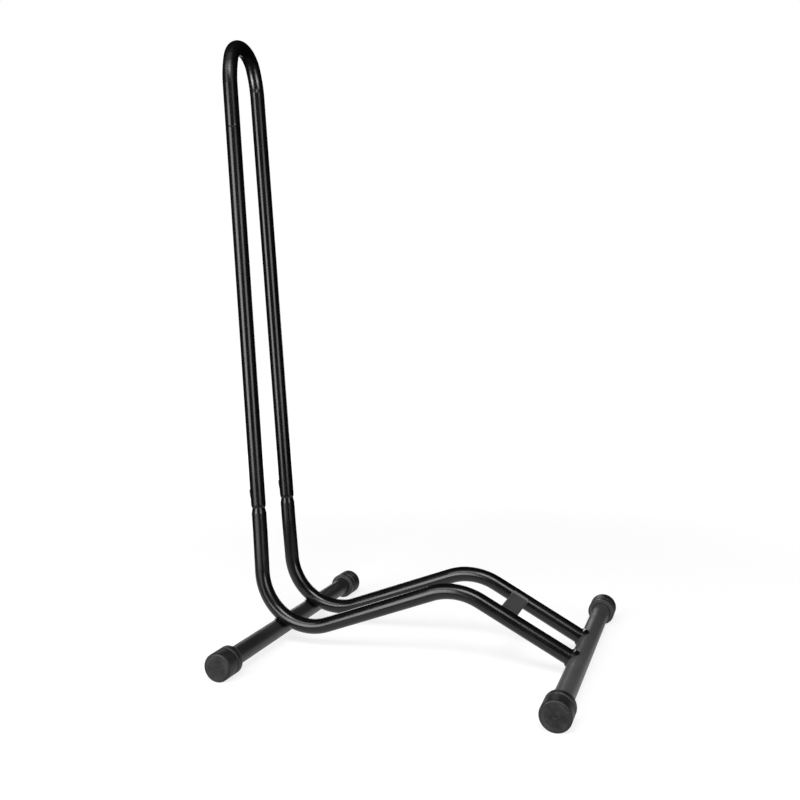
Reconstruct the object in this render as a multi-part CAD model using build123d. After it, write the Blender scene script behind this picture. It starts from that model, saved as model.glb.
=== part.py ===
"""Bicycle floor stand: a welded tube base and a lift-off hoop that hold a wheel between two rails.

Units are millimetres. +X runs from the hoop at the rear to the front tube, +Y is the left-hand side
and +Z is up. The shape is worked out from the rear cross tube's axis (x = 0, y = 0, floor z = 0), and
every part is moved at the end so that the origin is the centre of the whole stand's footprint.
"""

from build123d import *
from math import atan, cos, radians, sin, tan
import os

# Tubes
TUBE_OD = 16.0
TUBE_WALL = 1.2
CROSS_OD = 19.2
CROSS_WALL = 1.2

# Rubber end caps, which carry the stand
CAP_OD = 29.0
CAP_LENGTH = 25.0
CAP_END_WALL = 3.5
CAP_GROOVE_DEPTH = 0.9
CAP_EDGE_RADIUS = 2.0

# Base: where the tubes' centre lines would meet at each bend
WIDTH_OVER_CAPS = 321.0
WHEELBASE = 328.0
REAR_BEND_X, REAR_BEND_Z, REAR_BEND_RADIUS = -14.1, -3.1, 58.0
HUMP_X, HUMP_Z, HUMP_RADIUS = 204.0, 80.1, 62.0
SPREAD_REAR_BEND = 76.4
SPREAD_HUMP = 68.5
SPREAD_FRONT = 64.0

# How far short of the front cross tube's axis the rails and their weld beads stop
RAIL_CUT_BACK = 8.0
BEAD_CUT_BACK = 4.0

# Hoop: where its straight legs run into the arch, a wide arc over each leg and a tight one on top
HOOP_X, HOOP_Z = -50.13, 608.0
SPREAD_HOOP = 58.8
SPREAD_LEG_END = 66.7
ARCH_SIDE_RADIUS = 90.0
ARCH_SIDE_TURN = 20.0

# Below the joint each lower tube sets outwards a little, towards its rear bend
SET_Z, SET_RADIUS = 120.0, 300.0

# Joint between hoop and base, by height above the floor
LEG_END_Z = 147.3
LEG_NOSE_LENGTH = 3.4
LEG_NOSE_DEPTH = 0.9
SPIGOT_OD = 12.6
SPIGOT_LENGTH = 50.0
SHOULDER_LENGTH = 8.4
SHOULDER_PLAY = 0.05

# Snap clip: a folded spring strip in each spigot, with a long button drawn from its moving leaf
BUTTON_Z = 163.0
BUTTON_LENGTH = 11.5
BUTTON_WIDTH = 6.2
BUTTON_HOLE_PLAY = 0.7
BUTTON_REACH = 8.45
CLIP_TILT = 5.0
CLIP_WIDTH = 6.4
CLIP_THICKNESS = 0.8
CLIP_LEAF_FACE = 3.2
CLIP_FOLD_DROP = 30.0
CLIP_FIXED_FACE = 3.6
CLIP_FOLD_GAP = 0.15
LEAF_OVER_BUTTON = 2.0
BUTTON_RIM_RADIUS = 0.6

# Bridge plate on the falling stretch of the rails
BRIDGE_PLACE = 0.412
BRIDGE_LENGTH = 18.5
BRIDGE_THICKNESS = 4.0
BRIDGE_TOP = 5.0
BRIDGE_EDGE_RADIUS = 1.8

# Weld beads: how far each stands off the surfaces that it joins
REAR_BEAD_ON_RAIL, REAR_BEAD_ON_TUBE = 2.2, 2.2
FRONT_BEAD_ON_RAIL, FRONT_BEAD_ON_TUBE = 1.8, 3.2
BRIDGE_BEAD = 1.6
BRIDGE_BEAD_PAST_EDGE = 0.6
BRIDGE_BEAD_REACH = 31.0

TUBE_R = TUBE_OD / 2
TUBE_BORE_R = TUBE_R - TUBE_WALL
CROSS_R = CROSS_OD / 2
CAP_R = CAP_OD / 2
SPIGOT_R = SPIGOT_OD / 2
SPIGOT_BORE_R = SPIGOT_R - TUBE_WALL
AXLE_Z = CAP_R
SIDES = {"left": 1, "right": -1}


# Centre lines


def rear_bend(side):
    return Vector(REAR_BEND_X, side * SPREAD_REAR_BEND / 2, REAR_BEND_Z)


def hump(side):
    return Vector(HUMP_X, side * SPREAD_HUMP / 2, HUMP_Z)


def front_end(side):
    return Vector(WHEELBASE, side * SPREAD_FRONT / 2, AXLE_Z)


def hoop_shoulder(side):
    return Vector(HOOP_X, side * SPREAD_HOOP / 2, HOOP_Z)


def leg_end(side):
    lean = (HOOP_X - REAR_BEND_X) / (HOOP_Z - REAR_BEND_Z)
    x = REAR_BEND_X + lean * (LEG_END_Z - REAR_BEND_Z)
    return Vector(x, side * SPREAD_LEG_END / 2, LEG_END_Z)


def leg_frame(side, height):
    """A plane on a leg's centre line at a height: local +Z runs up the leg, local +X to the rear."""
    end = leg_end(side)
    direction = (hoop_shoulder(side) - end).normalized()
    origin = end + direction * ((height - end.Z) / direction.Z)
    return Plane(origin=origin, x_dir=(-1, 0, 0), z_dir=direction)


def hoop_up():
    """The direction up the hoop's middle line, along which it lifts off the spigots."""
    return ((hoop_shoulder(1) + hoop_shoulder(-1)) - (leg_end(1) + leg_end(-1))).normalized()


def arch_plane():
    """The hoop's own plane, between the two shoulders: local X to the left, local Y up the hoop."""
    middle = (hoop_shoulder(1) + hoop_shoulder(-1)) / 2
    return Plane(origin=middle, x_dir=(0, 1, 0), z_dir=Vector(0, 1, 0).cross(hoop_up()))


def splay():
    """How far each leg leans inwards on its way up, in radians."""
    rise = (hoop_shoulder(1) + hoop_shoulder(-1) - leg_end(1) - leg_end(-1)).length / 2
    return atan((SPREAD_LEG_END - SPREAD_HOOP) / 2 / rise)


def side_arc_point(share):
    """A point on the left side arc, a share of its turn past the shoulder, on the arch plane."""
    turn = splay() + radians(ARCH_SIDE_TURN) * share
    across = SPREAD_HOOP / 2 - ARCH_SIDE_RADIUS * (cos(splay()) - cos(turn))
    return Vector(across, ARCH_SIDE_RADIUS * (sin(turn) - sin(splay())))


def hoop_crown():
    """The highest point of the hoop's centre line, where the top arc crosses the middle."""
    arc_end = side_arc_point(1)
    turn = splay() + radians(ARCH_SIDE_TURN)
    top_radius = arc_end.X / cos(turn)
    return arch_plane().from_local_coords(Vector(0, arc_end.Y + top_radius * (1 - sin(turn))))


def lower_path(side, cut_back=RAIL_CUT_BACK):
    start = leg_frame(side, shoulder_z()).origin
    outward_set = leg_frame(side, SET_Z).origin
    end = front_end(side) - (front_end(side) - hump(side)).normalized() * cut_back
    corners = [start, outward_set, rear_bend(side), hump(side), end]
    return FilletPolyline(*corners, radius=[SET_RADIUS, REAR_BEND_RADIUS, HUMP_RADIUS])


def hoop_path():
    to_place = arch_plane().from_local_coords
    left = [leg_end(1)] + [to_place(side_arc_point(share)) for share in (0, 0.5, 1)]
    right = [Vector(point.X, -point.Y, point.Z) for point in reversed(left)]
    left_side = [Line(*left[:2]), ThreePointArc(*left[1:])]
    right_side = [ThreePointArc(*right[:3]), Line(*right[2:])]
    return Wire([*left_side, ThreePointArc(left[-1], hoop_crown(), right[0]), *right_side])


def shoulder_z():
    """Height at which the lower tube begins to narrow, set so that the leg's bore sits on the cone."""
    slope = (TUBE_R - SPIGOT_R) / SHOULDER_LENGTH
    return LEG_END_Z - SHOULDER_PLAY - (TUBE_R - TUBE_BORE_R) / slope


# Building blocks


def swept(path, outer_radius, bore_radius=0.0):
    section_plane = Plane(origin=path @ 0, z_dir=path % 0)
    section = Circle(outer_radius)
    if bore_radius:
        section -= Circle(bore_radius)
    return sweep(section_plane * section, path=path)


def rail_rod(side, radius, cut_back=RAIL_CUT_BACK):
    """The solid rod that fills a lower tube, for cutting and for weld beads."""
    return swept(lower_path(side, cut_back), radius)


def cross_rod(axle_x, radius, length):
    return Pos(axle_x, 0, AXLE_Z) * Rot(90, 0, 0) * Cylinder(radius, length)


def turned(points):
    """A solid of revolution about Z from an outline of (radius, height) points."""
    outline = make_face(Polyline(*[(r, 0, z) for r, z in points], close=True))
    return revolve(outline, Axis.Z)


def button_hole(side):
    """A round-ended bar from a leg's centre line out to the rear, to cut the button's hole."""
    frame = leg_frame(side, BUTTON_Z)
    wall = Plane(origin=frame.origin, x_dir=frame.z_dir, z_dir=frame.x_dir)
    hole = SlotOverall(BUTTON_LENGTH + 2 * BUTTON_HOLE_PLAY, BUTTON_WIDTH + 2 * BUTTON_HOLE_PLAY)
    return extrude(wall * hole, TUBE_OD)


# Parts


def upper_hoop():
    hoop = swept(hoop_path(), TUBE_R, TUBE_BORE_R)
    nose = turned(
        [
            (TUBE_R - LEG_NOSE_DEPTH, -1.0),
            (TUBE_R - LEG_NOSE_DEPTH, 0.0),
            (TUBE_R - LEG_NOSE_DEPTH / 4, LEG_NOSE_LENGTH / 2),
            (TUBE_R, LEG_NOSE_LENGTH),
            (TUBE_R + 1.0, LEG_NOSE_LENGTH),
            (TUBE_R + 1.0, -1.0),
        ]
    )
    for side in SIDES.values():
        hoop -= leg_frame(side, LEG_END_Z).location * nose
        hoop -= button_hole(side)
    return hoop


def lower_tube(side):
    tube = swept(lower_path(side), TUBE_R, TUBE_BORE_R)
    spigot_top = SHOULDER_LENGTH + SPIGOT_LENGTH
    spigot = turned(
        [
            (TUBE_BORE_R, 0.0),
            (TUBE_R, 0.0),
            (SPIGOT_R, SHOULDER_LENGTH),
            (SPIGOT_R, spigot_top - 0.8),
            (SPIGOT_R - 0.6, spigot_top),
            (SPIGOT_BORE_R, spigot_top),
            (SPIGOT_BORE_R, SHOULDER_LENGTH),
        ]
    )
    tube += leg_frame(side, shoulder_z()).location * spigot
    tube -= button_hole(side)
    tube -= cross_rod(0, CROSS_R, WIDTH_OVER_CAPS)
    tube -= cross_rod(WHEELBASE, CROSS_R, WIDTH_OVER_CAPS)
    return tube.solids().sort_by(SortBy.VOLUME)[-1]


def cross_tube(axle_x):
    length = WIDTH_OVER_CAPS - 2 * CAP_END_WALL
    return cross_rod(axle_x, CROSS_R, length) - cross_rod(axle_x, CROSS_R - CROSS_WALL, length)


def end_cap(axle_x, side):
    """A rubber cup: ringed mouth, one groove round the body, rounded outer edge, moulding dimple."""
    groove_r = CAP_R - CAP_GROOVE_DEPTH
    mouth_ring_r = CAP_R - 1.2
    rounding = [
        (
            CAP_R - CAP_EDGE_RADIUS * (1 - cos(radians(angle))),
            CAP_LENGTH - CAP_EDGE_RADIUS * (1 - sin(radians(angle))),
        )
        for angle in range(0, 91, 15)
    ]
    cup = turned(
        [
            (CROSS_R, CAP_LENGTH - CAP_END_WALL),
            (CROSS_R, 1.2),
            (CROSS_R + 1.0, 0.0),
            (mouth_ring_r - 0.7, 0.0),
            (mouth_ring_r - 0.5, 0.7),
            (mouth_ring_r, 0.7),
            (mouth_ring_r + 0.2, 0.0),
            (CAP_R - 0.4, 0.0),
            (CAP_R, 0.4),
            (CAP_R, 7.0),
            (groove_r, 7.8),
            (groove_r, 9.0),
            (CAP_R, 9.8),
            *rounding,
            (1.6, CAP_LENGTH),
            (1.0, CAP_LENGTH - 0.5),
            (0.0, CAP_LENGTH - 0.5),
            (0.0, CAP_LENGTH - CAP_END_WALL),
        ]
    )
    mouth = Vector(axle_x, side * (WIDTH_OVER_CAPS / 2 - CAP_LENGTH), AXLE_Z)
    return Plane(origin=mouth, x_dir=(1, 0, 0), z_dir=(0, side, 0)).location * cup


def clip_strip(start, end, thickness_side):
    """A straight strip between two points of the clip's (rear, up) section, on one side of the line."""
    along = (Vector(end) - Vector(start)).normalized()
    normal = Vector(-along.Y, along.X) * thickness_side * CLIP_THICKNESS
    a, b = Vector(start), Vector(end)
    return make_face(Polyline(a, b, b + normal, a + normal, close=True))


def clip_section_plane(side):
    """The clip's section: local X to the rear, local Y up the leg, origin on the leg at the button."""
    frame = leg_frame(side, BUTTON_Z)
    return Plane(origin=frame.origin, x_dir=frame.x_dir, z_dir=frame.x_dir.cross(frame.z_dir))


def leaf_foot():
    """The middle of the moving leaf where it runs into the fold, in the clip's section."""
    face_at_foot = CLIP_LEAF_FACE - CLIP_FOLD_DROP * tan(radians(CLIP_TILT))
    return Vector(face_at_foot - CLIP_THICKNESS / 2, -CLIP_FOLD_DROP)


def fixed_leaf_middle():
    return -CLIP_FIXED_FACE + CLIP_THICKNESS / 2


def fold_centre():
    """The middle of the fold in the clip's section, about which the moving leaf turns."""
    return Vector((leaf_foot().X + fixed_leaf_middle()) / 2, -CLIP_FOLD_DROP)


def snap_button(side):
    """The clip's moving leaf, tilted to the rear, with the button that shows through the leg."""
    tilt = radians(CLIP_TILT)
    rise, back = cos(tilt), sin(tilt)
    foot = leaf_foot() + Vector(CLIP_THICKNESS / 2, 0) + Vector(back, rise) * CLIP_FOLD_GAP
    leaf_length = CLIP_FOLD_DROP / rise + BUTTON_LENGTH / 2 + LEAF_OVER_BUTTON
    leaf = clip_strip(foot, foot + Vector(back, rise) * leaf_length, 1)
    section = clip_section_plane(side)
    leaf = extrude(section * leaf, CLIP_WIDTH / 2, both=True)
    leaf_face = Plane(
        origin=section.from_local_coords(Vector(CLIP_LEAF_FACE, 0, 0)),
        x_dir=section.x_dir * back + section.y_dir * rise,
        z_dir=section.x_dir * rise - section.y_dir * back,
    )
    button = extrude(leaf_face * SlotOverall(BUTTON_LENGTH, BUTTON_WIDTH), BUTTON_REACH - CLIP_LEAF_FACE)
    rim = button.faces().sort_by(Axis(origin=(0, 0, 0), direction=leaf_face.z_dir))[-1].edges()
    return leaf + fillet(rim, BUTTON_RIM_RADIUS)


def clip_leaf(side):
    """The clip's fixed leaf against the tube's front wall, with the fold at its foot."""
    centre_of_fold = fold_centre()
    fold_radius = leaf_foot().X - centre_of_fold.X
    ring = Circle(fold_radius + CLIP_THICKNESS / 2) - Circle(fold_radius - CLIP_THICKNESS / 2)
    lower_half = Pos(0, -TUBE_R) * Rectangle(2 * TUBE_OD, TUBE_OD)
    fold = Pos(*centre_of_fold) * (ring & lower_half)
    leaf = Pos(fixed_leaf_middle(), -CLIP_FOLD_DROP / 2) * Rectangle(CLIP_THICKNESS, CLIP_FOLD_DROP)
    return extrude(clip_section_plane(side) * (fold + leaf), CLIP_WIDTH / 2, both=True)


def bridge_frame():
    start = (hump(1) + hump(-1)) / 2
    end = (front_end(1) + front_end(-1)) / 2
    fall = (end - start).normalized()
    origin = start + (end - start) * BRIDGE_PLACE
    return Plane(origin=origin, x_dir=fall, z_dir=fall.cross(Vector(0, 1, 0)))


def bridge_bar(half_width, past_edge=0.0, over_face=0.0):
    """The plate's flat bar before its ends are cut to the rails, or grown to make its weld beads."""
    bar = Box(BRIDGE_LENGTH + 2 * past_edge, 2 * half_width, BRIDGE_THICKNESS + 2 * over_face)
    bar = fillet(bar.edges().filter_by(Axis.Y), BRIDGE_EDGE_RADIUS + over_face / 2)
    return bridge_frame().location * Pos(0, 0, BRIDGE_TOP - BRIDGE_THICKNESS / 2) * bar


def bridge_plate():
    plate = bridge_bar(SPREAD_FRONT / 2)
    for side in SIDES.values():
        plate -= rail_rod(side, TUBE_R)
    return plate.solids().sort_by(SortBy.VOLUME)[-1]


def bridge_weld(side):
    grown_bar = bridge_bar(BRIDGE_BEAD_REACH, BRIDGE_BEAD_PAST_EDGE, BRIDGE_BEAD)
    bead = grown_bar & rail_rod(side, TUBE_R + BRIDGE_BEAD)
    return bead - bridge_bar(SPREAD_FRONT) - rail_rod(side, TUBE_R)


def cross_weld(axle_x, side, on_rail, on_tube):
    around_rail = rail_rod(side, TUBE_R + on_rail, BEAD_CUT_BACK)
    bead = cross_rod(axle_x, CROSS_R + on_tube, WIDTH_OVER_CAPS) & around_rail
    return bead - cross_rod(axle_x, CROSS_R, WIDTH_OVER_CAPS) - rail_rod(side, TUBE_R)


def all_parts():
    parts = {
        "upper_hoop": upper_hoop(),
        "rear_cross_tube": cross_tube(0),
        "front_cross_tube": cross_tube(WHEELBASE),
        "bridge_plate": bridge_plate(),
    }
    for name, side in SIDES.items():
        parts[f"{name}_lower_tube"] = lower_tube(side)
        parts[f"{name}_snap_button"] = snap_button(side)
        parts[f"{name}_clip_leaf"] = clip_leaf(side)
        parts[f"{name}_bridge_weld"] = bridge_weld(side)
        parts[f"rear_{name}_weld"] = cross_weld(0, side, REAR_BEAD_ON_RAIL, REAR_BEAD_ON_TUBE)
        front_bead = cross_weld(WHEELBASE, side, FRONT_BEAD_ON_RAIL, FRONT_BEAD_ON_TUBE)
        parts[f"front_{name}_weld"] = front_bead
        parts[f"rear_{name}_cap"] = end_cap(0, side)
        parts[f"front_{name}_cap"] = end_cap(WHEELBASE, side)
    return parts


def footprint_centre_x():
    rearmost = hoop_crown().X - TUBE_R
    foremost = WHEELBASE + CAP_R
    return (rearmost + foremost) / 2


os.makedirs("parts", exist_ok=True)
centre = Pos(-footprint_centre_x(), 0, 0)
for part_name, shape in all_parts().items():
    placed = centre * shape
    solids = placed.solids()
    export_step(solids[0] if len(solids) == 1 else Compound(children=list(solids)), f"parts/{part_name}.step")

for side_name, side_sign in SIDES.items():
    section_frame = clip_section_plane(side_sign)
    fold_point = centre * Vertex(*section_frame.from_local_coords(fold_centre()))
    print(side_name, "fold centre", tuple(round(v, 4) for v in fold_point.center()))
    print(side_name, "press axis", tuple(round(v, 5) for v in section_frame.z_dir))
print("hoop lift axis", tuple(round(v, 5) for v in hoop_up()), "centre x", round(footprint_centre_x(), 3))
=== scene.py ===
"""Looks for the bicycle floor stand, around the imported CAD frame. Units are metres.

+X runs from the hoop to the front cross tube, +Y to the left, +Z up, and the floor is z = 0.
"""

import math

import bpy
from mathutils import Euler, Matrix, Vector


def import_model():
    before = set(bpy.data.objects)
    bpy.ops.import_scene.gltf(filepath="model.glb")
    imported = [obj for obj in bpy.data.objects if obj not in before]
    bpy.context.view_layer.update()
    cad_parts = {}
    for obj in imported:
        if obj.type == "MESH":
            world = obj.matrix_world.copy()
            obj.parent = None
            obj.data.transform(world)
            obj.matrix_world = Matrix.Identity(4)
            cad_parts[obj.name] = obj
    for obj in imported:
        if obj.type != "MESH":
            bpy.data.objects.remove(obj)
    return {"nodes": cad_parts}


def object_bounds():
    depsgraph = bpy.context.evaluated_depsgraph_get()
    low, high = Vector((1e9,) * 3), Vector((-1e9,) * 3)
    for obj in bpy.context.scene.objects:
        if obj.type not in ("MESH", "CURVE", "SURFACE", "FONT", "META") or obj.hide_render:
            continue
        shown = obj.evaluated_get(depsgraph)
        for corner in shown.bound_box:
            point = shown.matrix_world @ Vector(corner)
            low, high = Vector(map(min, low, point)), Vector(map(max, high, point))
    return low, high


SIDES = {"left": 1, "right": -1}

# Camera: its place, and how its view is turned from looking level along +Y
CAMERA_PLACE = Vector((0.31143, -0.86120, 0.33012))
CAMERA_TURN = math.radians(20.38)
CAMERA_DOWN = math.radians(3.959)
CAMERA_ROLL = math.radians(-0.466)
CAMERA_LENS = 38.75
CAMERA_SENSOR = 36.0
CAMERA_NEAR, CAMERA_FAR = 0.01, 50

# Heights on the hoop that its coat follows
ARCH_FOOT = 0.624
LEFT_ARCH_FOOT_RISE = 0.008
ARCH_FADE = 0.01
LEFT_CLAMP_MARK, LEFT_CLAMP_HALF_WIDTH = 0.617, 0.004
RIGHT_CLAMP_MARK, RIGHT_CLAMP_HALF_WIDTH = 0.563, 0.002
WORN_ABOVE_MARK, WORN_HALF_WIDTH = 0.0085, 0.008

# The rubber caps: where they are, and where their painted highlights and painted shade are
CAP_RADIUS = 0.0145
CAP_MIDDLE_X, CAP_HALF_SPACING = 0.0232, 0.164
CAP_MOUTH_Y, CAP_END_Y = 0.1355, 0.1605
CAP_FACE_DEPTH, CAP_FACE_FADE = 0.0016, 0.001
CAP_RIM_RADIUS, CAP_RIM_HALF_WIDTH = 0.0108, 0.0022
CAP_MIDDLE_INNER, CAP_MIDDLE_OUTER = 0.001, 0.008
CAP_LIP_FROM_MOUTH, CAP_LIP_HALF_WIDTH = 0.0006, 0.0012
CAP_RING_SHADE_FROM_MOUTH, CAP_RING_SHADE_HALF_WIDTH = 0.0084, 0.0016

# Powder coats: dark tone, light tone, roughness, and strength of the orange peel
GLOSS_COAT = ((0.002, 0.002, 0.00205), (0.0045, 0.0045, 0.0046), 0.21, 0.2)
WELD_COAT = ((0.002, 0.002, 0.00205), (0.006, 0.006, 0.0062), 0.2, 0.3)
# The two satin coats are one coat: the rear copy is darker as painted shade, the front copy lighter as
# painted light
REAR_SHADED_SATIN_COAT = ((0.012, 0.012, 0.0122), (0.024, 0.024, 0.0244), 0.42, 0.4)
FRONT_LIT_SATIN_COAT = ((0.055, 0.055, 0.0556), (0.082, 0.082, 0.083), 0.44, 0.4)
COAT_SPECULAR, ARCH_SPECULAR, WORN_SPECULAR_GAIN = 0.5, 0.1, 0.9
ARCH_ROUGHNESS_GAIN = 0.08

# Rubber and spring steel tones; the rubber's rim and lip tones are painted highlights, its middle and
# ring tones painted shade
RUBBER_DARK, RUBBER_BLOOM = (0.006, 0.006, 0.0062), (0.021, 0.021, 0.0215)
RUBBER_LIT_RIM, RUBBER_SHADED_MIDDLE = (0.045, 0.045, 0.046), (0.008, 0.008, 0.0082)
RUBBER_LIT_LIP, RUBBER_RING_SHADE = (0.09, 0.09, 0.091), (0.006, 0.006, 0.006)
RUBBER_DUST = (0.036, 0.0355, 0.035)
RUBBER_SPECULAR = 0.45
STEEL_OILED, STEEL_RUBBED = (0.03, 0.03, 0.032), (0.11, 0.108, 0.105)
STEEL_METALLIC = 0.85

# Floor and surroundings. The stand is lit by a pool of glowing floor under its rails, longer along X
# by one over the squeeze. The camera sees another glow, which grows from near the stand outwards.
FLOOR_HALF = 9.0
FLOOR_GREY, FLOOR_ROUGHNESS = 0.3, 0.9
POOL_SQUEEZE_X = 0.45
POOL_INNER, POOL_OUTER = 0.12, 0.3
POOL_GLOW, DIM_GLOW = 0.75, 0.004
NEAR_RADIUS, FAR_RADIUS = 0.4, 1.6
NEAR_GLOW, FAR_GLOW = 0.8, 1.0
SKY_SEEN, SKY_LIGHT = 1.0, 0.006

# Upright softboxes: azimuth, distance and height of the middle, then width, height and radiance
SIDE_STRIPS = {
    "left_strip": (-46, 1.7, 0.53, 0.95, 1.06, 6.5),
    "left_strip_top": (-46, 1.7, 1.48, 0.95, 0.8, 1.5),
    "right_strip": (38, 1.8, 0.53, 0.9, 1.06, 3.8),
    "right_strip_top": (38, 1.8, 1.48, 0.9, 0.8, 1.0),
}
REAR_STRIPS = {
    "rear_strip_left": (168, 1.7, 0.3, 0.35, 0.5, 2.5),
    "rear_strip_right": (196, 1.7, 0.3, 0.35, 0.5, 2.5),
}

# Softboxes above and in front of the stand: X of the middle, then width, height and radiance
FRONT_TOPS = {"front_top_left": (-0.95, 1.5, 0.55, 3.8), "front_top_right": (0.4, 1.2, 0.85, 8.5)}
FRONT_TOP_Y, FRONT_TOP_Z = -1.25, 1.95
FRONT_TOP_AIM_Z = 0.05

# Softbox lying on the floor, which the foot of each leg mirrors
CARD_AZIMUTH, CARD_DISTANCE, CARD_HEIGHT = -46, 1.05, 0.012
CARD_LENGTH, CARD_WIDTH, CARD_RADIANCE = 1.2, 0.62, 2.2

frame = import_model()
cad_low, cad_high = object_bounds()


# Materials


class Graph:
    """A material's node tree, with short calls for the nodes used here."""

    def __init__(self, name):
        self.material = bpy.data.materials.new(name)
        self.material.use_nodes = True
        self.nodes = self.material.node_tree.nodes
        self.links = self.material.node_tree.links
        self.shader = self.nodes["Principled BSDF"]
        coordinates = self.nodes.new("ShaderNodeTexCoord")
        self.object_place = coordinates.outputs["Object"]

    def link(self, source, target):
        self.links.new(source, target)

    def noise(self, scale, detail=3.0, roughness=0.5, stretch=(1, 1, 1)):
        mapping = self.nodes.new("ShaderNodeMapping")
        mapping.inputs["Scale"].default_value = stretch
        self.link(self.object_place, mapping.inputs["Vector"])
        noise = self.nodes.new("ShaderNodeTexNoise")
        noise.inputs["Scale"].default_value = scale
        noise.inputs["Detail"].default_value = detail
        noise.inputs["Roughness"].default_value = roughness
        self.link(mapping.outputs["Vector"], noise.inputs["Vector"])
        return noise.outputs["Fac"]

    def place_of(self, axis):
        """The object-space coordinate along an axis, which is X, Y or Z."""
        split = self.nodes.new("ShaderNodeSeparateXYZ")
        self.link(self.object_place, split.inputs["Vector"])
        return split.outputs[axis]

    def math(self, operation, *values):
        node = self.nodes.new("ShaderNodeMath")
        node.operation = operation
        for socket, value in zip(node.inputs, values):
            if isinstance(value, (int, float)):
                socket.default_value = value
            else:
                self.link(value, socket)
        return node.outputs[0]

    def band(self, source, middle, half_width):
        """1 on a middle value of the source, falling smoothly to 0 a half width away."""
        away = self.math("ABSOLUTE", self.math("SUBTRACT", source, middle))
        return self.ramp(self.math("DIVIDE", away, half_width), 0, 1, 1, 0)

    def ramp(self, source, low, high, from_value=0.0, to_value=1.0):
        """Source between low and high becomes from_value to to_value, and is held there outside."""
        node = self.nodes.new("ShaderNodeMapRange")
        node.inputs["From Min"].default_value = low
        node.inputs["From Max"].default_value = high
        node.inputs["To Min"].default_value = from_value
        node.inputs["To Max"].default_value = to_value
        self.link(source, node.inputs["Value"])
        return node.outputs["Result"]

    def mix(self, factor, first, second):
        """A colour between two, each a colour or another node's output."""
        node = self.nodes.new("ShaderNodeMix")
        node.data_type = "RGBA"
        self.link(factor, node.inputs["Factor"])
        for socket, value in (("A", first), ("B", second)):
            target = [s for s in node.inputs if s.name == socket and s.type == "RGBA"][0]
            if isinstance(value, tuple):
                target.default_value = (*value, 1.0)
            else:
                self.link(value, target)
        return [s for s in node.outputs if s.type == "RGBA"][0]

    def bump(self, height, strength, distance, under=None):
        node = self.nodes.new("ShaderNodeBump")
        node.inputs["Strength"].default_value = strength
        node.inputs["Distance"].default_value = distance
        self.link(height, node.inputs["Height"])
        if under is not None:
            self.link(under, node.inputs["Normal"])
        return node.outputs["Normal"]


def powder_coat(name, dark, light, roughness, orange_peel):
    """Baked powder coat: fine orange peel, cloudy tone, and faint handling scuffs."""
    graph = Graph(name)
    clouds = graph.ramp(graph.noise(scale=14, detail=4), 0.35, 0.68)
    tone = graph.mix(clouds, dark, light)
    streaks = graph.noise(scale=90, detail=6, roughness=0.7, stretch=(1, 1, 0.35))
    scuffs = graph.ramp(streaks, 0.66, 0.76)
    scuffed = tuple(min(1.0, c * 1.8 + 0.006) for c in light)
    graph.link(graph.mix(scuffs, tone, scuffed), graph.shader.inputs["Base Color"])
    gloss = graph.noise(scale=45, detail=5, roughness=0.6)
    graph.roughness = graph.ramp(gloss, 0.3, 0.7, roughness - 0.04, roughness + 0.06)
    graph.link(graph.roughness, graph.shader.inputs["Roughness"])
    waves = graph.bump(graph.noise(scale=240, detail=2), orange_peel, distance=0.00006)
    fine = graph.noise(scale=1300, detail=2)
    graph.normal = graph.bump(fine, orange_peel * 0.5, distance=0.000015, under=waves)
    graph.link(graph.normal, graph.shader.inputs["Normal"])
    graph.shader.inputs["Specular IOR Level"].default_value = COAT_SPECULAR
    return graph


def hoop_coat():
    """The tubes' coat with a duller, pitted arch, clamp marks and a polished patch on the left."""
    graph = powder_coat("hoop_gloss_coat", *GLOSS_COAT)
    height = graph.place_of("Z")
    left_leg = graph.math("GREATER_THAN", graph.place_of("Y"), 0)
    right_leg = graph.math("SUBTRACT", 1, left_leg)
    dull_from = graph.math("MULTIPLY_ADD", left_leg, LEFT_ARCH_FOOT_RISE, ARCH_FOOT)
    arch = graph.ramp(graph.math("SUBTRACT", height, dull_from), 0, ARCH_FADE)
    above_mark = graph.band(height, LEFT_CLAMP_MARK + WORN_ABOVE_MARK, WORN_HALF_WIDTH)
    worn = graph.math("MULTIPLY", above_mark, left_leg)
    level = graph.ramp(arch, 0, 1, COAT_SPECULAR, ARCH_SPECULAR)
    specular = graph.math("MULTIPLY_ADD", worn, WORN_SPECULAR_GAIN, level)
    graph.link(specular, graph.shader.inputs["Specular IOR Level"])
    dulled = graph.math("MULTIPLY_ADD", arch, ARCH_ROUGHNESS_GAIN, graph.roughness)
    graph.link(dulled, graph.shader.inputs["Roughness"])
    pits = graph.math("MULTIPLY", graph.noise(scale=330, detail=3, roughness=0.7), arch)
    pitted = graph.bump(pits, strength=0.6, distance=0.0008, under=graph.normal)
    clamp_band = graph.band(height, LEFT_CLAMP_MARK, LEFT_CLAMP_HALF_WIDTH)
    clamp = graph.math("MULTIPLY", clamp_band, left_leg)
    nick_band = graph.band(height, RIGHT_CLAMP_MARK, RIGHT_CLAMP_HALF_WIDTH)
    nick = graph.math("MULTIPLY", nick_band, right_leg)
    marks = graph.math("MULTIPLY_ADD", nick, 0.25, clamp)
    sunk = graph.math("SUBTRACT", 1, marks)
    marked = graph.bump(sunk, strength=0.8, distance=0.0009, under=pitted)
    graph.link(marked, graph.shader.inputs["Normal"])
    return graph.material


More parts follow.
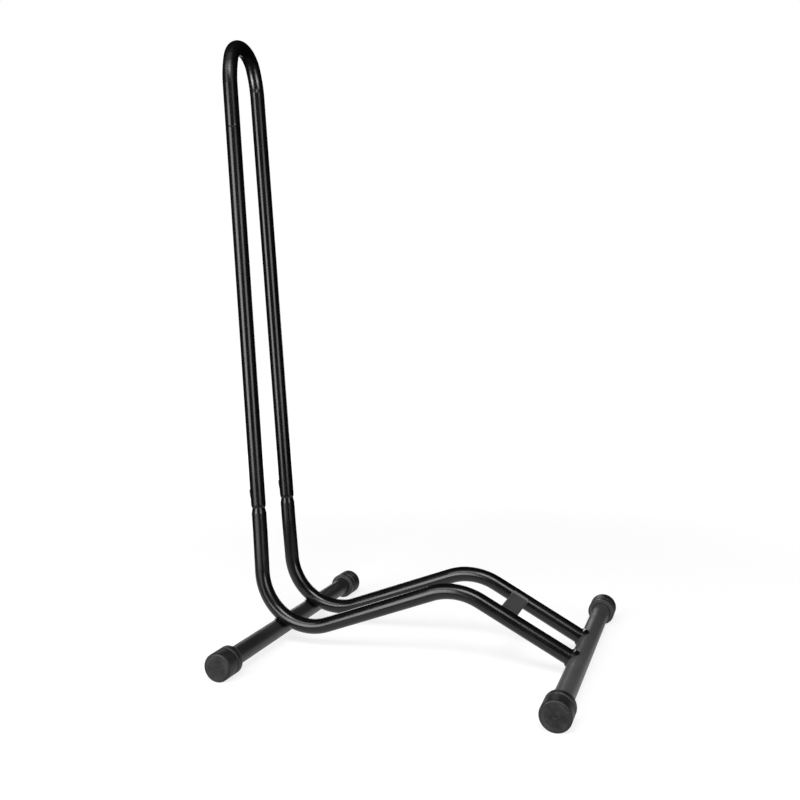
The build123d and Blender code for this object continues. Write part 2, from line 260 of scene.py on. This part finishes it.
def rubber():
    """Moulded rubber: matte, grained, with bloom and dust; a paler end-face rim and lip are painted
    highlights, a darker end-face middle and side ring are painted shade.
    """
    graph = Graph("cap_rubber")
    across = graph.math("ABSOLUTE", graph.math("SUBTRACT", graph.place_of("X"), CAP_MIDDLE_X))
    off_x = graph.math("SUBTRACT", across, CAP_HALF_SPACING)
    off_z = graph.math("SUBTRACT", graph.place_of("Z"), CAP_RADIUS)
    x_squared = graph.math("MULTIPLY", off_x, off_x)
    z_squared = graph.math("MULTIPLY", off_z, off_z)
    radius = graph.math("SQRT", graph.math("ADD", x_squared, z_squared))
    out = graph.math("ABSOLUTE", graph.place_of("Y"))
    face_from = CAP_END_Y - CAP_FACE_DEPTH
    end_face = graph.ramp(out, face_from, face_from + CAP_FACE_FADE)
    bloom = graph.ramp(graph.noise(scale=85, detail=5, roughness=0.7), 0.36, 0.66)
    tone = graph.mix(bloom, RUBBER_DARK, RUBBER_BLOOM)
    # Painted highlight: a paler ring just inside the rim of each cap's end face, broken by patches
    lit_rim = graph.math("MULTIPLY", graph.band(radius, CAP_RIM_RADIUS, CAP_RIM_HALF_WIDTH), end_face)
    patches = graph.ramp(graph.noise(scale=55), 0.42, 0.62, 0.05, 0.7)
    tone = graph.mix(graph.math("MULTIPLY", lit_rim, patches), tone, RUBBER_LIT_RIM)
    # Painted shade: each cap's end face darkens towards its middle
    middle = graph.ramp(radius, CAP_MIDDLE_INNER, CAP_MIDDLE_OUTER, 0.75, 0)
    tone = graph.mix(graph.math("MULTIPLY", middle, end_face), tone, RUBBER_SHADED_MIDDLE)
    # Painted highlight: a pale band along the lip at each cap's mouth
    lip = graph.band(out, CAP_MOUTH_Y + CAP_LIP_FROM_MOUTH, CAP_LIP_HALF_WIDTH)
    tone = graph.mix(graph.math("MULTIPLY", lip, 0.8), tone, RUBBER_LIT_LIP)
    # Painted shade: a dark ring round the side of each cap, 8.4 mm from its mouth
    ring_shade = graph.band(out, CAP_MOUTH_Y + CAP_RING_SHADE_FROM_MOUTH, CAP_RING_SHADE_HALF_WIDTH)
    tone = graph.mix(graph.math("MULTIPLY", ring_shade, 0.85), tone, RUBBER_RING_SHADE)
    dust = graph.ramp(graph.noise(scale=260, detail=4, roughness=0.7), 0.6, 0.74)
    graph.link(graph.mix(dust, tone, RUBBER_DUST), graph.shader.inputs["Base Color"])
    graph.link(graph.ramp(bloom, 0, 1, 0.42, 0.62), graph.shader.inputs["Roughness"])
    swelling = graph.noise(scale=160, detail=3, roughness=0.6)
    swell = graph.bump(swelling, strength=0.7, distance=0.0006)
    grains = graph.noise(scale=1500, detail=3, roughness=0.6)
    grain = graph.bump(grains, strength=0.4, distance=0.00014, under=swell)
    graph.link(grain, graph.shader.inputs["Normal"])
    graph.shader.inputs["Specular IOR Level"].default_value = RUBBER_SPECULAR
    return graph.material


def spring_steel():
    """Black-oiled spring strip: dark, slightly brushed along its length, rubbed bright in places."""
    graph = Graph("clip_steel")
    rubbed = graph.ramp(graph.noise(scale=180, detail=4, roughness=0.6), 0.55, 0.75)
    graph.link(graph.mix(rubbed, STEEL_OILED, STEEL_RUBBED), graph.shader.inputs["Base Color"])
    brushed = graph.noise(scale=900, detail=3, roughness=0.6, stretch=(1, 1, 0.06))
    graph.link(graph.ramp(brushed, 0.3, 0.7, 0.3, 0.46), graph.shader.inputs["Roughness"])
    brushing = graph.bump(brushed, strength=0.2, distance=0.00004)
    graph.link(brushing, graph.shader.inputs["Normal"])
    graph.shader.inputs["Metallic"].default_value = STEEL_METALLIC
    return graph.material


def paint(node, material):
    mesh = frame["nodes"][node].data
    mesh.materials.clear()
    mesh.materials.append(material)


def paint_frame():
    gloss = powder_coat("tube_gloss_coat", *GLOSS_COAT)
    weld = powder_coat("weld_gloss_coat", *WELD_COAT)
    rear_shaded_satin = powder_coat("rear_shaded_satin_coat", *REAR_SHADED_SATIN_COAT)
    front_lit_satin = powder_coat("front_lit_satin_coat", *FRONT_LIT_SATIN_COAT)
    cap_rubber = rubber()
    clip_steel = spring_steel()
    paint("upper_hoop", hoop_coat())
    # Painted shade on the rear cross tube; painted light on the front cross tube, bridge plate and
    # bridge welds
    paint("rear_cross_tube", rear_shaded_satin.material)
    paint("front_cross_tube", front_lit_satin.material)
    paint("bridge_plate", front_lit_satin.material)
    for side in SIDES:
        paint(f"{side}_lower_tube", gloss.material)
        for end in ("rear", "front"):
            paint(f"{end}_{side}_cap", cap_rubber)
            paint(f"{end}_{side}_weld", weld.material)
        paint(f"{side}_bridge_weld", front_lit_satin.material)
        paint(f"{side}_snap_button", clip_steel)
        paint(f"{side}_clip_leaf", clip_steel)


# Stage


def seen_by_camera(nodes):
    return nodes.new("ShaderNodeLightPath").outputs["Is Camera Ray"]


def smooth_fall(tree, distance, low, high, near_value, far_value):
    """A value going smoothly from one at a low distance to another at a high distance."""
    node = tree.nodes.new("ShaderNodeMapRange")
    node.interpolation_type = "SMOOTHSTEP"
    node.inputs["From Min"].default_value = low
    node.inputs["From Max"].default_value = high
    node.inputs["To Min"].default_value = near_value
    node.inputs["To Max"].default_value = far_value
    tree.links.new(distance, node.inputs["Value"])
    return node.outputs["Result"]


def length_of(tree, vector):
    node = tree.nodes.new("ShaderNodeVectorMath")
    node.operation = "LENGTH"
    tree.links.new(vector, node.inputs[0])
    return node.outputs["Value"]


def floor_material():
    """Near white to the camera, with faint soft shadows; a pool of light to everything else."""
    material = bpy.data.materials.new("floor_pale")
    material.use_nodes = True
    tree = material.node_tree
    nodes, links = tree.nodes, tree.links
    shader = nodes["Principled BSDF"]
    shader.inputs["Base Color"].default_value = (FLOOR_GREY, FLOOR_GREY, FLOOR_GREY, 1)
    shader.inputs["Roughness"].default_value = FLOOR_ROUGHNESS
    shader.inputs["Specular IOR Level"].default_value = 0.0
    shader.inputs["Emission Color"].default_value = (1, 1, 1, 1)
    place = nodes.new("ShaderNodeTexCoord").outputs["Object"]
    squeeze = nodes.new("ShaderNodeVectorMath")
    squeeze.operation = "MULTIPLY"
    squeeze.inputs[1].default_value = (POOL_SQUEEZE_X, 1, 1)
    links.new(place, squeeze.inputs[0])
    from_rails = length_of(tree, squeeze.outputs["Vector"])
    pool = smooth_fall(tree, from_rails, POOL_INNER, POOL_OUTER, POOL_GLOW, DIM_GLOW)
    paler = smooth_fall(tree, length_of(tree, place), NEAR_RADIUS, FAR_RADIUS, NEAR_GLOW, FAR_GLOW)
    links.new(paler, shader.inputs["Emission Strength"])
    glow = nodes.new("ShaderNodeEmission")
    links.new(pool, glow.inputs["Strength"])
    blend = nodes.new("ShaderNodeMixShader")
    links.new(seen_by_camera(nodes), blend.inputs["Fac"])
    links.new(glow.outputs["Emission"], blend.inputs[1])
    links.new(shader.outputs["BSDF"], blend.inputs[2])
    links.new(blend.outputs["Shader"], nodes["Material Output"].inputs["Surface"])
    return material


def floor():
    half = FLOOR_HALF
    corners = [(-half, -half, 0), (half, -half, 0), (half, half, 0), (-half, half, 0)]
    mesh = bpy.data.meshes.new("floor")
    mesh.from_pydata(corners, [], [(0, 1, 2, 3)])
    mesh.materials.append(floor_material())
    piece = bpy.data.objects.new("floor", mesh)
    bpy.context.scene.collection.objects.link(piece)


def world():
    """White to the camera and almost black as light, so that the gloss coat keeps its black edges."""
    sky = bpy.data.worlds.new("studio")
    bpy.context.scene.world = sky
    sky.use_nodes = True
    nodes, links = sky.node_tree.nodes, sky.node_tree.links
    seen = nodes.new("ShaderNodeBackground")
    lit = nodes["Background"]
    for background, strength in ((seen, SKY_SEEN), (lit, SKY_LIGHT)):
        background.inputs["Color"].default_value = (1, 1, 1, 1)
        background.inputs["Strength"].default_value = strength
    blend = nodes.new("ShaderNodeMixShader")
    links.new(seen_by_camera(nodes), blend.inputs["Fac"])
    links.new(lit.outputs["Background"], blend.inputs[1])
    links.new(seen.outputs["Background"], blend.inputs[2])
    links.new(blend.outputs["Shader"], nodes["World Output"].inputs["Surface"])


def softbox(name, place, turn, width, height, radiance):
    """An even rectangular light, by its brightness, so that its size doesn't change its reflection."""
    light = bpy.data.lights.new(name, "AREA")
    light.shape = "RECTANGLE"
    light.size, light.size_y = width, height
    light.energy = math.pi * width * height * radiance
    lamp = bpy.data.objects.new(name, light)
    bpy.context.scene.collection.objects.link(lamp)
    lamp.location = place
    lamp.rotation_mode = "QUATERNION"
    lamp.rotation_quaternion = turn
    lamp.visible_camera = False


def facing(place, aim):
    return (aim - place).to_track_quat("-Z", "Y")


def around(azimuth, distance, height):
    """A place round the stand: azimuth 0 is where the camera stands and grows to its right."""
    middle = (cad_low + cad_high) / 2
    toward = (CAMERA_PLACE - middle).normalized()
    angle = math.atan2(toward.y, toward.x) + math.radians(azimuth)
    x = middle.x + distance * math.cos(angle)
    y = middle.y + distance * math.sin(angle)
    return Vector((x, y, height))


def strips(boxes):
    """Upright softboxes round the stand, all aimed at the middle of its height."""
    aim = Vector((0, 0, cad_high.z * 0.5))
    for name, (azimuth, distance, middle, width, height, radiance) in boxes.items():
        place = around(azimuth, distance, middle)
        softbox(name, place, facing(place, aim), width, height, radiance)


def lights():
    strips(SIDE_STRIPS)
    for name, (middle, width, height, radiance) in FRONT_TOPS.items():
        place = Vector((middle, FRONT_TOP_Y, FRONT_TOP_Z))
        aim = Vector((middle, 0, FRONT_TOP_AIM_Z))
        softbox(name, place, facing(place, aim), width, height, radiance)
    strips(REAR_STRIPS)
    place = around(CARD_AZIMUTH, CARD_DISTANCE, CARD_HEIGHT)
    face_up = Euler((math.pi, 0, math.atan2(place.y, place.x)))
    softbox("left_card", place, face_up.to_quaternion(), CARD_LENGTH, CARD_WIDTH, CARD_RADIANCE)


def camera():
    data = bpy.data.cameras.new("camera")
    data.lens = CAMERA_LENS
    data.sensor_width = CAMERA_SENSOR
    data.clip_start, data.clip_end = CAMERA_NEAR, CAMERA_FAR
    eye = bpy.data.objects.new("camera", data)
    bpy.context.scene.collection.objects.link(eye)
    level = Matrix.Rotation(math.radians(90), 4, "X")
    turn = Matrix.Rotation(CAMERA_TURN, 4, "Z")
    down = Matrix.Rotation(-CAMERA_DOWN, 4, "X")
    roll = Matrix.Rotation(CAMERA_ROLL, 4, "Z")
    eye.matrix_world = Matrix.Translation(CAMERA_PLACE) @ turn @ down @ level @ roll
    bpy.context.scene.camera = eye


paint_frame()
floor()
world()
lights()
camera()
bpy.context.scene.view_settings.view_transform = "Standard"
